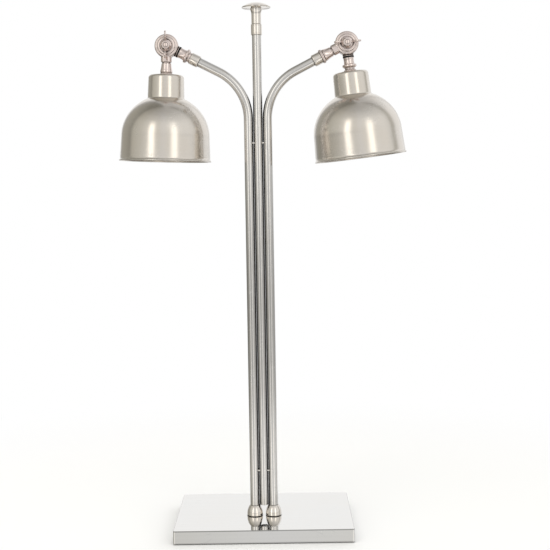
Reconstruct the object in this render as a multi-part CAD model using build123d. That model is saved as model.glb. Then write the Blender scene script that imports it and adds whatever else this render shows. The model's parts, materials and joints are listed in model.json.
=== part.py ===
from build123d import *
import math
import os

os.makedirs("parts", exist_ok=True)

# ---------------------------------------------------------------- dimensions
# Twin heat lamp warmer.  Millimetres, +Z up, -Y is the front, +X is the
# right-hand lamp.  Origin: centre of the underside of the base pad.

# base
base_w = 305.0            # along X
base_d = 229.0            # along Y
pad_t = 2.0               # non-slip pad under the base
pad_inset = 6.0
shell_top = 23.5          # top face of the base
shell_bottom = 0.8        # the shell's edge hangs just clear of the table
shell_t = 1.5             # sheet thickness
shell_corner_r = 3.0
shell_edge_r = 1.3
plate_t = 1.5
ballast_w, ballast_d, ballast_t = 286.0, 210.0, 6.0
post_y = -24.5            # the posts stand a little in front of the centre
screw_x, screw_y = 122.0, 88.0

# posts
tube_r = 7.95             # 5/8 in tube
tube_wall = 1.2
post_x = 16.2             # side tube axis from the centre rod axis
bend_z = 713.0            # where the side tubes start to bend outwards
bend_r = 90.0
bend_deg = 63.0
arm_len = 98.4            # end of bend to the knuckle pivot
tube_end_z = 17.0         # lower, threaded end inside the base
nut_r = 13.8              # domed nut
nut_barrel = 3.6
nut_h = 18.5
rod_bottom = 42.5         # the centre rod stops short of the base
rod_top = 862.0
spacer_r = 1.6
spacer_z_low = 104.0
spacer_z_high = 672.0

# finial on the centre rod
collar_z0, collar_z1, collar_r = 854.0, 872.4, 9.35
stem_r = 8.25
stem_top = 888.0
neck_top = 898.5
knob_r = 24.6
knob_rim_z = 900.3
knob_top = 909.0

# swivel knuckle (local frame: pivot at the origin, hinge axis Y, stem on +Z)
ear_r = 20.0
ear_t = 10.0              # outer face of an ear from the hinge's mid-plane
ear_gap = 0.45            # inner face of an ear from the mid-plane
bolt_r = 4.0
run_clear = 0.06          # radial running clearance on the bolt
ferrule_bore = 3.0
nipple_r = 5.0

# shade (u is measured down from the top of its cap)
cap_d = 48.5              # pivot to the top of the cap
cap_r0, cap_r1 = 30.3, 31.2
cap_round = 5.5
dome_a, dome_b, dome_u = 75.3, 71.4, 105.0
skirt_r, skirt_u = 77.3, 145.5
wall = 1.0
bead_r = 1.3

left_tilt = 2.0           # lower end swung outwards from vertical
right_tilt = 6.5

lead_r = 2.75

# ---------------------------------------------------------------- helpers


def save(shape, name):
    export_step(shape, "parts/" + name + ".step")


def outline(start, *steps):
    """Closed face from straight steps (x, y) and arc steps ((mx, my), (x, y))."""
    cur = start
    edges = []
    for s in steps:
        if isinstance(s[0], tuple):
            edges.append(ThreePointArc(cur, s[0], s[1]))
            cur = s[1]
        else:
            edges.append(Line(cur, s))
            cur = s
    if cur != start:
        edges.append(Line(cur, start))
    return make_face(edges)


def turned(face):
    """Revolve a face drawn as (radius, height) about Z."""
    return revolve(Plane.XZ * face, Axis.Z, 360)


def ring(r_out, r_in, z0, z1, ch=0.0):
    c = ch
    if c:
        return turned(outline((r_in, z0), (r_out - c, z0), (r_out, z0 + c), (r_out, z1 - c),
                              (r_out - c, z1), (r_in, z1)))
    return turned(outline((r_in, z0), (r_out, z0), (r_out, z1), (r_in, z1)))


def cyl(r, z0, z1, x=0.0, y=0.0):
    return Pos(x, y, (z0 + z1) / 2) * Cylinder(r, z1 - z0)


def block(x0, x1, y0, y1, z0, z1):
    return Pos((x0 + x1) / 2, (y0 + y1) / 2, (z0 + z1) / 2) * Box(x1 - x0, y1 - y0, z1 - z0)


def hexagon(af, z0, z1, x=0.0, y=0.0):
    r = af / math.sqrt(3)
    body = extrude(RegularPolygon(r, 6), z1 - z0)
    return Pos(x, y, z0) * body


def along_y(shape):
    """Turn a shape built about Z so that its +Z points to -Y (the front)."""
    return Rot(90, 0, 0) * shape


def group(shapes):
    return Compound(children=list(shapes))


def arc_mid(c, r, a0, a1):
    a = math.radians((a0 + a1) / 2)
    return (c[0] + r * math.cos(a), c[1] + r * math.sin(a))


# ---------------------------------------------------------------- base
pad = extrude(RectangleRounded(base_w - 2 * pad_inset, base_d - 2 * pad_inset, 6.0), pad_t)
save(pad, "base_pad")

shell = extrude(RectangleRounded(base_w, base_d, shell_corner_r), shell_top - shell_bottom)
shell = Pos(0, 0, shell_bottom) * shell
shell = fillet(shell.faces().sort_by(Axis.Z)[-1].edges(), shell_edge_r)
inner = extrude(RectangleRounded(base_w - 2 * shell_t, base_d - 2 * shell_t, shell_corner_r - shell_t),
                shell_top - shell_t - shell_bottom)
shell = shell - Pos(0, 0, shell_bottom) * inner
for sx in (-1, 1):
    shell = shell - cyl(tube_r + 0.15, 15, 30, sx * post_x, post_y)
gland_z = 13.0
gland_hole = 6.3
rear = base_d / 2
shell = shell - Pos(0, rear, gland_z) * (Rot(90, 0, 0) * Cylinder(gland_hole, 12))
save(shell, "base_shell")

plate_w = base_w - 2 * shell_t - 0.8
plate_d = base_d - 2 * shell_t - 0.8
plate = Pos(0, 0, pad_t) * extrude(RectangleRounded(plate_w, plate_d, 1.2), plate_t)
corners = [(sx * screw_x, sy * screw_y) for sx in (-1, 1) for sy in (-1, 1)]
sink = turned(outline((0, pad_t), (4.0, pad_t), (2.0, pad_t + plate_t), (0, pad_t + plate_t)))
for x, y in corners:
    plate = plate - Pos(x, y, 0) * sink
save(plate, "base_bottom_plate")

ballast_z0 = pad_t + plate_t
ballast_z1 = ballast_z0 + ballast_t
ballast = Pos(0, 0, ballast_z0) * extrude(RectangleRounded(ballast_w, ballast_d, 10.0), ballast_t)
ballast = chamfer(ballast.faces().sort_by(Axis.Z)[-1].edges(), 1.0)
for x, y in corners:
    ballast = ballast - cyl(2.0, ballast_z0 - 1, ballast_z1 + 1, x, y)
save(ballast, "ballast_plate")

screw = turned(outline((0, pad_t), (4.0, pad_t), (2.0, pad_t + plate_t), (2.0, ballast_z1 - 0.5),
                       (0, ballast_z1 - 0.5)))
slot = block(-3.2, 3.2, -0.4, 0.4, pad_t - 1, pad_t + 0.7)
screw = screw - slot - Rot(0, 0, 90) * slot
save(group([Pos(x, y, 0) * screw for x, y in corners]), "bottom_plate_screws")

standoff = cyl(4.5, ballast_z1, shell_top - shell_t)
save(group([Pos(x, y, 0) * standoff for x, y in corners]), "base_standoffs")

# snap-in bushing at the cord's entry in the rear wall
bush = turned(outline((4.2, -8.0), (6.9, -8.0), (gland_hole, -5.5), (gland_hole, 0), (9.0, 0),
                      (9.0, 1.0), ((8.7, 1.7), (8.0, 2.0)), (4.2, 2.0)))
bush = Pos(0, rear, gland_z) * (Rot(-90, 0, 0) * bush)
save(bush, "cord_bushing")

# terminal block on the ballast
tb = block(-30, 30, 52, 74, ballast_z1, ballast_z1 + 9.5)
tb = chamfer(tb.edges().filter_by(Axis.Z), 1.5)
for i in range(5):
    x = -22.0 + 11.0 * i
    tb = tb - cyl(3.2, ballast_z1 + 6.0, ballast_z1 + 12, x, 63)
    tb = tb + cyl(2.6, ballast_z1 + 5.5, ballast_z1 + 8.0, x, 63)
save(tb, "terminal_block")

# ---------------------------------------------------------------- post tubes
th = math.radians(bend_deg)


def tube_points(s):
    """Bend end, arm direction and pivot of the tube on side s."""
    cx = s * (post_x + bend_r)
    ex = cx - s * bend_r * math.cos(th)
    ez = bend_z + bend_r * math.sin(th)
    dx, dz = s * math.sin(th), math.cos(th)
    return (ex, ez), (dx, dz), (ex + dx * arm_len, ez + dz * arm_len)


def tube_path(s, z0, end_gap):
    (ex, ez), (dx, dz), _ = tube_points(s)
    cx = s * (post_x + bend_r)
    mid = (cx - s * bend_r * math.cos(th / 2), bend_z + bend_r * math.sin(th / 2))
    run = arm_len - end_gap
    l1 = Line((s * post_x, post_y, z0), (s * post_x, post_y, bend_z))
    a1 = ThreePointArc((s * post_x, post_y, bend_z), (mid[0], post_y, mid[1]), (ex, post_y, ez))
    l2 = Line((ex, post_y, ez), (ex + dx * run, post_y, ez + dz * run))
    return [l1, a1, l2]


def pipe(edges, r, start_plane):
    return sweep(start_plane * Circle(r), Wire(edges))


tube_gap = {-1: 46.0, 1: 49.3}
for s, side in ((-1, "left"), (1, "right")):
    edges = tube_path(s, tube_end_z, tube_gap[s])
    start = Plane(origin=(s * post_x, post_y, tube_end_z), z_dir=(0, 0, 1))
    tube = pipe(edges, tube_r, start) - pipe(edges, tube_r - tube_wall, start)
    save(tube, side + "_post_tube")
    vol = math.pi * (tube_r ** 2 - (tube_r - tube_wall) ** 2) * (
        (bend_z - tube_end_z) + bend_r * th + arm_len - tube_gap[s])
    print(side, "tube volume", round(tube.volume), "expected", round(vol))

    # supply lead: terminal block, under the tube's end, up and along the arm
    lz, br = 12.5, 12.0
    p0 = Line((s * post_x, 52.0, lz), (s * post_x, post_y + br, lz))
    am = br * (1 - math.cos(math.radians(45)))
    ay = br * (1 - math.sin(math.radians(45)))
    p1 = ThreePointArc((s * post_x, post_y + br, lz), (s * post_x, post_y + ay, lz + am),
                       (s * post_x, post_y, lz + br))
    rest = tube_path(s, lz + br, 26.0 if s < 0 else 29.0)
    lead = sweep(Plane(origin=(s * post_x, 52.0, lz), z_dir=(0, -1, 0)) * Circle(lead_r),
                 Wire([p0, p1] + rest))
    save(lead, side + "_supply_lead")

    # domed nut over the tube, seated on the base
    z0, z1, z2 = shell_top, shell_top + nut_barrel, shell_top + nut_h
    a0 = 1.0
    nut = turned(outline((tube_r, z0), (nut_r - a0, z0), ((nut_r - 0.3, z0 + 0.3), (nut_r, z0 + a0)),
                         (nut_r, z1), ((nut_r - 1.55, z1 + 8.4), (tube_r + 0.9, z2)), (tube_r, z2)))
    save(Pos(s * post_x, post_y, 0) * nut, side + "_domed_nut")

lock = hexagon(24.0, 18.0, shell_top - shell_t) - cyl(tube_r, 10, 30)
save(group([Pos(s * post_x, post_y, 0) * lock for s in (-1, 1)]), "post_locknuts")

rod = Pos(0, post_y, 0) * ring(tube_r, tube_r - tube_wall, rod_bottom, rod_top)
save(rod, "centre_rod")


def saddle_spacer(s, z):
    pin = Pos(s * post_x / 2, post_y, z) * (Rot(0, 90, 0) * Cylinder(spacer_r, post_x))
    pin = pin - cyl(tube_r, z - 10, z + 10, 0, post_y)
    return pin - cyl(tube_r, z - 10, z + 10, s * post_x, post_y)


save(group([saddle_spacer(s, spacer_z_high) for s in (-1, 1)]), "upper_spacers")
save(group([saddle_spacer(s, spacer_z_low) for s in (-1, 1)]), "lower_spacers")

# ---------------------------------------------------------------- finial
collar = turned(outline((tube_r, collar_z0), (collar_r - 0.8, collar_z0), (collar_r, collar_z0 + 0.8),
                        (collar_r, collar_z1 - 0.8), (collar_r - 0.8, collar_z1), (nipple_r, collar_z1),
                        (nipple_r, rod_top), (tube_r, rod_top)))
save(Pos(0, post_y, 0) * collar, "finial_collar")

stud = turned(outline((0, 850.0), (tube_r - tube_wall, 850.0), (tube_r - tube_wall, rod_top),
                      (nipple_r, rod_top), (nipple_r, 884.0), (0, 884.0)))
save(Pos(0, post_y, 0) * stud, "finial_stud")

kr = knob_r
# crown of the knob: an arc centred on the axis
kx, kz = kr - 1.0, knob_rim_z + 1.4
crown_r = (kx ** 2 + (knob_top - kz) ** 2) / (2 * (knob_top - kz))
kmx = kx * 0.52
kmz = knob_top - crown_r + math.sqrt(crown_r ** 2 - kmx ** 2)
knob = turned(outline((nipple_r, collar_z1), (stem_r, collar_z1), (stem_r, stem_top),
                      ((stem_r + 0.8, stem_top + 5.6), (stem_r + 2.6, neck_top)),
                      (kr - 1.2, knob_rim_z - 0.9), ((kr, knob_rim_z + 0.2), (kr - 1.0, knob_rim_z + 1.4)),
                      ((kmx, kmz), (0, knob_top)), (0, 884.0), (nipple_r, 884.0)))
save(Pos(0, post_y, 0) * knob, "finial_knob")

# ---------------------------------------------------------------- knuckles


def ear_disc(front):
    """Rounded disc on one side of the hinge's mid-plane, bored for the bolt."""
    rr = 3.6
    bore = bolt_r + run_clear if front else bolt_r
    f = outline((bore, ear_gap), (ear_r - 0.5, ear_gap), (ear_r, ear_gap + 0.5), (ear_r, ear_t - rr),
                (arc_mid((ear_r - rr, ear_t - rr), rr, 0, 90), (ear_r - rr, ear_t)), (bore, ear_t))
    d = turned(f)
    return along_y(d) if front else Rot(-90, 0, 0) * d


def ear_part(front, stem, r_stem):
    """Ear with its web and round stem end, pivot at the origin, stem along +Z."""
    y0, y1 = (-ear_t + 0.6, -ear_gap) if front else (ear_gap, ear_t - 0.6)
    web = block(-r_stem, r_stem, y0, y1, 8.0, stem - 0.01)
    boss = cyl(r_stem, ear_r + 0.6, stem)
    body = web & cyl(r_stem + 1.2, 0, stem)
    part = ear_disc(front) + body + boss
    bore = bolt_r + run_clear if front else bolt_r
    return part - Rot(90, 0, 0) * Cylinder(bore, 40)


def ferrule_a(spigot):
    """Grooved, flared ferrule (27 to 44.8 from the pivot); spigot enters the tube."""
    pts = [(ferrule_bore, 27.0), (7.4, 27.0), (7.4, 29.3), (8.4, 29.3), (8.5, 31.0),
           ((9.2, 36.5), (10.4, 41.2)), (10.4, 43.4), (9.8, 44.8)]
    if spigot:
        pts += [(tube_r - tube_wall, 44.8), (tube_r - tube_wall, 62.0), (ferrule_bore, 62.0)]
    else:
        pts += [(nipple_r, 44.8), (nipple_r, 36.0), (ferrule_bore, 36.0)]
    return turned(outline(*pts))


def ferrule_b(spigot):
    """Waisted neck, flange and groove (24.3 to 45 from the pivot)."""
    pts = [(ferrule_bore, 24.3), (9.2, 24.3), ((8.7, 29.6), (9.2, 35.0)), (9.8, 36.0), (11.6, 36.0),
           (12.2, 36.6), (12.2, 39.0), (11.6, 39.8), (10.4, 41.0), (8.6, 41.0), (8.6, 45.0)]
    if spigot:
        pts += [(tube_r - tube_wall, 45.0), (tube_r - tube_wall, 60.0), (ferrule_bore, 60.0)]
    else:
        pts += [(nipple_r, 45.0), (nipple_r, 36.0), (ferrule_bore, 36.0)]
    return turned(outline(*pts))


def ring_nut(z0, z1, r_out, r_in):
    c = 0.7
    return turned(outline((r_in, z0), (r_out - c, z0), (r_out, z0 + c), (r_out, z1 - c),
                          (r_out - c, z1), (r_in, z1)))


black_washer = ring(9.5, ferrule_bore, 21.7, 24.3, 0.35)
friction_washer = Rot(90, 0, 0) * ring(17.0, bolt_r + 0.3, -ear_gap, 0.40)

# bolt: domed head behind the rear ear, shank along Y to the front
bolt_end = 24.0
bolt = turned(outline((0, -ear_t - 4.6), ((5.6, -ear_t - 3.6), (8.2, -ear_t - 0.8)), (8.2, -ear_t),
                      (bolt_r, -ear_t), (bolt_r, bolt_end - 0.8), (bolt_r - 0.8, bolt_end), (0, bolt_end)))
bolt = along_y(bolt)

# dished clamp washer in front of the front ear
cw_r, cw_t = 15.0, 2.2
clamp_washer = turned(outline((bolt_r + 0.3, ear_t), (cw_r, ear_t), (cw_r, ear_t + 0.9),
                              ((cw_r - 1.2, ear_t + 1.7), (cw_r - 3.4, ear_t + cw_t)),
                              (bolt_r + 0.3, ear_t + cw_t)))
clamp_washer = along_y(clamp_washer)

# wing nut: conical hub with two thin upright wings
hub0 = ear_t + cw_t
hub = turned(outline((bolt_r + run_clear, hub0), (9.75, hub0), (9.75, hub0 + 2.6),
                     ((8.9, hub0 + 6.2), (6.2, hub0 + 10.2)), (bolt_r + run_clear, hub0 + 10.2)))
wing2d = make_face([
    Line((4.6, hub0 + 1.6), (10.0, hub0 + 1.6)),
    ThreePointArc((10.0, hub0 + 1.6), (17.2, hub0 + 4.4), (21.6, hub0 + 10.8)),
    ThreePointArc((21.6, hub0 + 10.8), (22.6, hub0 + 16.6), (18.6, hub0 + 20.6)),
    ThreePointArc((18.6, hub0 + 20.6), (12.6, hub0 + 18.4), (9.6, hub0 + 12.2)),
    ThreePointArc((9.6, hub0 + 12.2), (8.2, hub0 + 9.6), (4.6, hub0 + 8.8)),
    Line((4.6, hub0 + 8.8), (4.6, hub0 + 1.6)),
])
wing = extrude(Plane.XZ * wing2d, 1.25, both=True)
wing_nut = hub + wing + Rot(0, 0, 180) * wing
wing_nut = wing_nut - cyl(bolt_r + run_clear, hub0 - 5, hub0 + 30)
wing_nut = along_y(wing_nut)

# ---------------------------------------------------------------- lamp parts


def shade():
    """Spun shade: cylindrical cap, elliptical dome, short flared skirt, rolled rim."""
    def dome(a, b, r):
        return dome_u - b * math.sqrt(max(0.0, 1 - (r / a) ** 2))

    def profile(o):
        """One side of the wall, offset inwards by o."""
        rt = cap_round - o
        a, b = dome_a - o, dome_b - o
        fil = 3.6 + o * (1 if o else 0)
        cr = cap_r1 - o
        # concave fillet between the cap and the dome
        r1 = cr + (3.2 if not o else 4.0)
        u1 = dome(a, b, r1)
        u0 = u1 - (4.6 if not o else 5.2)
        slope_r = cr - (cap_r1 - cap_r0) * (1 - (u0 - cap_round) / 34.0) * 0.2
        pts = []
        n = 14
        t0 = math.asin(r1 / a)
        for i in range(n + 1):
            t = t0 + (math.pi / 2 - t0) * i / n
            pts.append((a * math.sin(t), dome_u - b * math.cos(t)))
        return rt, cr, u0, (r1, u1), pts

    def neg(p):
        return (p[0], -p[1])

    sides = []
    for o in (0.0, wall):
        rt, cr, u0, p1, pts = profile(o)
        ctr = (cap_r0 - cap_round, cap_round)
        s_top = (ctr[0], ctr[1] - rt)
        s_mid = (ctr[0] + rt * math.sin(math.radians(45)), ctr[1] - rt * math.cos(math.radians(45)))
        s_side = (ctr[0] + rt, ctr[1])
        p0 = (cr, u0)
        # tangents for the fillet spline
        tdome = (pts[1][0] - pts[0][0], -(pts[1][1] - pts[0][1]))
        tcap = (cr - s_side[0], -(u0 - s_side[1]))
        e = [Line((nipple_r + 0.1, -o), neg(s_top)),
             ThreePointArc(neg(s_top), neg(s_mid), neg(s_side)),
             Line(neg(s_side), neg(p0)),
             Spline(neg(p0), neg(p1), tangents=[tcap, tdome]),
             Spline(*[neg(p) for p in pts]),
             Line(neg(pts[-1]), neg((skirt_r - o, skirt_u)))]
        sides.append(e)
    edges = sides[0] + [Line((skirt_r, -skirt_u), (skirt_r - wall, -skirt_u))] + sides[1] + \
        [Line((nipple_r + 0.1, 0), (nipple_r + 0.1, -wall))]
    face = make_face(edges)
    bead = Pos(skirt_r + 0.1, -skirt_u + 0.3) * Circle(bead_r)
    face = face + bead
    return turned(face)


def shift(shape):
    """Place a shape drawn with u downwards at the cap's distance from the pivot."""
    return Rot(0, 180, 0) * (Pos(0, 0, -cap_d) * shape)


# The lamp pieces below are drawn with u = -z from the cap's top, then shifted
# so that the stem direction is local +Z like the knuckle pieces.
shade_s = shift(shade())
nipple = ring(nipple_r, ferrule_bore, 36.0, cap_d + 14.0)
cap_nut = hexagon(17.0, cap_d + wall, cap_d + wall + 3.2) - cyl(nipple_r, 30, 80)

sock = turned(outline((nipple_r, -6.0), (12.5, -6.0), ((17.2, -8.2), (19.5, -13.0)), (19.5, -43.0),
                      (20.8, -44.0), (20.8, -49.5), (20.0, -50.5), (14.0, -50.5), (14.0, -18.0),
                      (0, -18.0), (0, -14.0), (nipple_r, -14.0)))
socket = shift(sock)
screw_shell = shift(ring(14.0, 13.45, -46.0, -19.0))
base_cup = shift(turned(outline((0, -18.3), (4.6, -18.3), (5.4, -19.6), (12.0, -20.6), (13.25, -22.0),
                                (13.25, -46.5), (12.6, -46.5), (12.6, -22.6), (0, -21.6))))
glass_neck = (12.5, 23.2)
glass_pts = [(12.5, 47.0), (13.6, 52.5), (17.9, 61.0), (26.0, 74.0), (37.0, 90.0),
             (45.0, 103.5), (47.5, 113.0), (45.6, 120.5), (38.0, 126.2), (22.0, 129.8), (0.0, 131.0)]


def offset_pts(pts, o):
    out = []
    for i, p in enumerate(pts):
        a = pts[max(0, i - 1)]
        b = pts[min(len(pts) - 1, i + 1)]
        tx, ty = b[0] - a[0], b[1] - a[1]
        if i == 0:
            tx, ty = 0.0, 1.0
        if i == len(pts) - 1:
            tx, ty = -1.0, 0.0
        n = math.hypot(tx, ty)
        out.append((p[0] - ty / n * o, p[1] + tx / n * o))
    return out


g_in = offset_pts(glass_pts, 1.0)
g_in[-1] = (0.0, glass_pts[-1][1] - 1.0)
g_face = make_face([
    Line((glass_neck[0], -glass_neck[1]), (glass_pts[0][0], -glass_pts[0][1])),
    Line((g_in[0][0], -g_in[0][1]), (g_in[0][0], -glass_neck[1])),
    Spline(*[(p[0], -p[1]) for p in glass_pts], tangents=[(0, -1), (-1, 0)]),
    Line((0.0, -glass_pts[-1][1]), (0.0, -g_in[-1][1])),
    Spline(*[(p[0], -p[1]) for p in g_in], tangents=[(0, -1), (-1, 0)]),
    Line((g_in[0][0], -glass_neck[1]), (glass_neck[0], -glass_neck[1])),
])
bulb_glass = shift(turned(g_face))
lamp_lead = cyl(2.6, 28.0, cap_d + 13.5)

# ---------------------------------------------------------------- placing
for s, side in ((-1, "left"), (1, "right")):
    _, (dx, dz), (px, pz) = tube_points(s)
    print(side, "pivot", round(px, 3), post_y, round(pz, 3))
    # stem directions: arm from the pivot back to the tube, lamp downwards
    arm_phi = 180.0 + s * bend_deg
    lamp_phi = 180.0 - s * (left_tilt if s < 0 else right_tilt)
    arm = Pos(px, post_y, pz) * Rot(0, arm_phi, 0)
    lamp = Pos(px, post_y, pz) * Rot(0, lamp_phi, 0)
    hinge = Pos(px, post_y, pz)

    # the knuckle is used one way round on the left and the other on the right
    a_loc, b_loc = (lamp, arm) if s < 0 else (arm, lamp)
    a_name, b_name = ("lamp", "arm") if s < 0 else ("arm", "lamp")
    save(a_loc * ear_part(True, 27.0, 9.0), side + "_" + a_name + "_knuckle")
    save(b_loc * ear_part(False, 21.7, 9.4), side + "_" + b_name + "_knuckle")
    save(b_loc * black_washer, side + "_" + b_name + "_washer")
    save(b_loc * friction_washer, side + "_friction_washer")
    save(a_loc * ferrule_a(s > 0), side + "_" + a_name + "_ferrule")
    save(b_loc * ferrule_b(s < 0), side + "_" + b_name + "_ferrule")
    save(b_loc * bolt, side + "_knuckle_bolt")
    save(hinge * clamp_washer, side + "_clamp_washer")
    wing_angle = 91.5 if s < 0 else -3.0
    save(hinge * Rot(0, wing_angle, 0) * wing_nut, side + "_wing_nut")

    # tube collar on the arm
    if s < 0:
        c = turned(outline((8.6, 45.0), (9.4, 45.0), (10.1, 45.7), (10.1, 59.6),
                           ((9.7, 60.6), (8.6, 61.0)), (tube_r, 61.0), (tube_r, 45.0)))
    else:
        c = turned(outline((tube_r, 49.3), (9.8, 49.3), (10.4, 50.0), (10.4, 62.8),
                           ((9.9, 63.9), (8.6, 64.3)), (tube_r, 64.3)))
    save(arm * c, side + "_tube_collar")

    # ring nut between the ferrule and the shade (left) or at each end (right)
    if s < 0:
        save(lamp * ring_nut(44.8, cap_d, 10.4, nipple_r), side + "_lamp_ring_nut")
    else:
        save(lamp * ring_nut(45.0, cap_d, 10.8, nipple_r), side + "_lamp_ring_nut")
        save(arm * ring_nut(44.8, 49.3, 12.2, tube_r - tube_wall), side + "_arm_ring_nut")

    save(lamp * shade_s, side + "_shade")
    save(lamp * nipple, side + "_lamp_nipple")
    save(lamp * cap_nut, side + "_shade_nut")
    save(lamp * socket, side + "_socket")
    save(lamp * screw_shell, side + "_screw_shell")
    save(lamp * base_cup, side + "_bulb_cap")
    save(lamp * bulb_glass, side + "_bulb_glass")
    save(lamp * lamp_lead, side + "_lamp_lead")
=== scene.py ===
import bpy, bmesh, json, math
from mathutils import Vector, Matrix


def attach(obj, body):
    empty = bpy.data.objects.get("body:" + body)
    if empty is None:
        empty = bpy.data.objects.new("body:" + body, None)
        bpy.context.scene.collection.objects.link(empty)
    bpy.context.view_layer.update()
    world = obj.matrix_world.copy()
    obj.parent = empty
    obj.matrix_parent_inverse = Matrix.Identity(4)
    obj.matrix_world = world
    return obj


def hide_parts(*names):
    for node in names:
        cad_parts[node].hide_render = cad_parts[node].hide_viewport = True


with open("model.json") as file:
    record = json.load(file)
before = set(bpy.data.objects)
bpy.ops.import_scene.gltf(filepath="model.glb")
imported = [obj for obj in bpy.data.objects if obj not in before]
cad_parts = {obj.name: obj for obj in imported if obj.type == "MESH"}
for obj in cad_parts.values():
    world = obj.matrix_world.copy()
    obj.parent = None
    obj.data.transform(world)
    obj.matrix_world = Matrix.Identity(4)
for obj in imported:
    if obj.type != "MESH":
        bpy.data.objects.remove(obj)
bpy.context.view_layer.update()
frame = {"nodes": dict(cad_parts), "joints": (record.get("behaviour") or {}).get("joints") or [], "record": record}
record = frame["record"]
nodes = frame["nodes"]
joints = {j["name"]: j for j in frame["joints"]}
slot_of = {s["node"]: s["material_slot"] for s in record["subparts"]}
body_of = {n: b for b, ns in record["behaviour"]["bodies"].items() for n in ns}

scene = bpy.context.scene
scene.view_settings.view_transform = "Standard"
scene.view_settings.look = "None"

MM = 0.001
POST_Y = -24.5
POST_X = 16.2
TUBE_R, TUBE_WALL = 7.95, 1.2
BEND_Z, BEND_R, BEND_DEG, ARM_LEN = 713.0, 90.0, 63.0, 98.4
CAP_D = 48.5
TILT = {"left": 2.0, "right": 6.5}
SIDE = {"left": -1, "right": 1}
PIVOT = {s: Vector(joints[s + "_lamp_tilt"]["pos_m"]) for s in ("left", "right")}

# ================================================================== camera
CAM_POS = (0.033, -1.9459, 0.5926)
CAM_PITCH, CAM_YAW, CAM_ROLL = 4.389, -0.236, 0.9
cam_data = bpy.data.cameras.new("camera")
cam_data.sensor_fit = "HORIZONTAL"
cam_data.sensor_width = 36.0
cam_data.lens = 1116.2 / 550.0 * 36.0
cam_data.clip_start = 0.05
cam_data.clip_end = 60.0
cam = bpy.data.objects.new("camera", cam_data)
scene.collection.objects.link(cam)
cam.matrix_world = (Matrix.Translation(CAM_POS)
                    @ Matrix.Rotation(math.radians(-CAM_YAW), 4, "Z")
                    @ Matrix.Rotation(math.radians(90.0 - CAM_PITCH), 4, "X")
                    @ Matrix.Rotation(math.radians(-CAM_ROLL), 4, "Z"))
scene.camera = cam

# ================================================================== studio
world = bpy.data.worlds.new("studio")
scene.world = world
world.use_nodes = True


class Graph:
    """Small helper for building node trees."""

    def __init__(self, tree):
        self.t = tree

    def new(self, kind, **kw):
        n = self.t.nodes.new(kind)
        for k, v in kw.items():
            setattr(n, k, v)
        return n

    def link(self, a, b):
        self.t.links.new(a, b)

    def math(self, op, a, b=None, c=None, clamp=False):
        n = self.new("ShaderNodeMath", operation=op)
        n.use_clamp = clamp
        for i, v in enumerate((a, b, c)):
            if v is None:
                continue
            if isinstance(v, (int, float)):
                n.inputs[i].default_value = v
            else:
                self.link(v, n.inputs[i])
        return n.outputs[0]

    def ramp(self, fac, stops, interp="LINEAR"):
        n = self.new("ShaderNodeValToRGB")
        n.color_ramp.interpolation = interp
        els = n.color_ramp.elements
        while len(els) > 1:
            els.remove(els[-1])
        for i, (pos, col) in enumerate(stops):
            if isinstance(col, (int, float)):
                col = (col, col, col)
            if i == 0:
                els[0].position = pos
                e = els[0]
            else:
                e = els.new(pos)
            e.color = (*col, 1.0)
        self.link(fac, n.inputs[0])
        return n.outputs[0]

    def mix(self, fac, a, b, blend="MIX"):
        n = self.new("ShaderNodeMix", data_type="RGBA", blend_type=blend)
        for sock, v in ((n.inputs[0], fac), (n.inputs[6], a), (n.inputs[7], b)):
            if isinstance(v, (int, float)):
                if sock.type == "RGBA":
                    sock.default_value = (v, v, v, 1.0)
                else:
                    sock.default_value = v
            elif isinstance(v, tuple):
                sock.default_value = (*v, 1.0)
            else:
                self.link(v, sock)
        return n.outputs[2]


wt = world.node_tree
wt.nodes.clear()
g = Graph(wt)
tc = g.new("ShaderNodeTexCoord")
sep = g.new("ShaderNodeSeparateXYZ")
g.link(tc.outputs["Generated"], sep.inputs[0])
dx, dy, dz = sep.outputs
az = g.math("ARCTAN2", dx, g.math("MULTIPLY", dy, -1.0))
azn = g.math("ADD", g.math("MULTIPLY", az, 1.0 / (2 * math.pi)), 0.5)
eln = g.math("ADD", g.math("MULTIPLY", g.math("ARCSINE", dz), 1.0 / math.pi), 0.5)


def A(deg):
    return 0.5 + deg / 360.0


def E(deg):
    return 0.5 + deg / 180.0


W = (1.0, 0.985, 0.96)


def w(v, t=0.0):
    """grey level v, warmer with t"""
    return (v * (1 + 0.02 * t), v, v * (1 - 0.10 * t))


room = g.ramp(azn, [(A(-180), w(1.0)), (A(-156), w(1.0)), (A(-149), w(.46)), (A(-138), w(.42, 1)), (A(-116), w(.40, 1)),
                    (A(-104), w(.34, 1)), (A(-97), w(.30, 1)), (A(-90), w(.54, 1)), (A(-66), w(.62, .8)), (A(-48), w(.72, .5)),
                    (A(-12), w(.76, .3)), (A(0), w(.82)), (A(12), w(.82, .3)), (A(48), w(.86, .2)), (A(70), w(.88, .2)),
                    (A(88), w(.82, .2)), (A(97), w(.50, .6)), (A(104), w(.52, .6)), (A(116), w(.95)), (A(150), w(1.0)), (A(156), w(.72)),
                    (A(162), w(1.0)), (A(180), w(1.0))], "EASE")
# two soft boxes in front, left and right of the lens
box_l = g.ramp(azn, [(A(-41), 0.0), (A(-36.5), 1.0), (A(-27), 1.0), (A(-20), 0.0)], "EASE")
box_r = g.ramp(azn, [(A(17), 0.0), (A(24), .8), (A(34), 1.0), (A(38), 0.0)], "EASE")
box_e = g.ramp(eln, [(E(-75), 0.0), (E(-60), .50), (E(-12.6), .80), (E(-10.4), .38), (E(-4), .42), (E(3), 1.0), (E(24), 1.0), (E(46), 0.0)], "EASE")
boxes = g.math("MULTIPLY", g.math("ADD", box_l, box_r, clamp=True), box_e)
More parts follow.
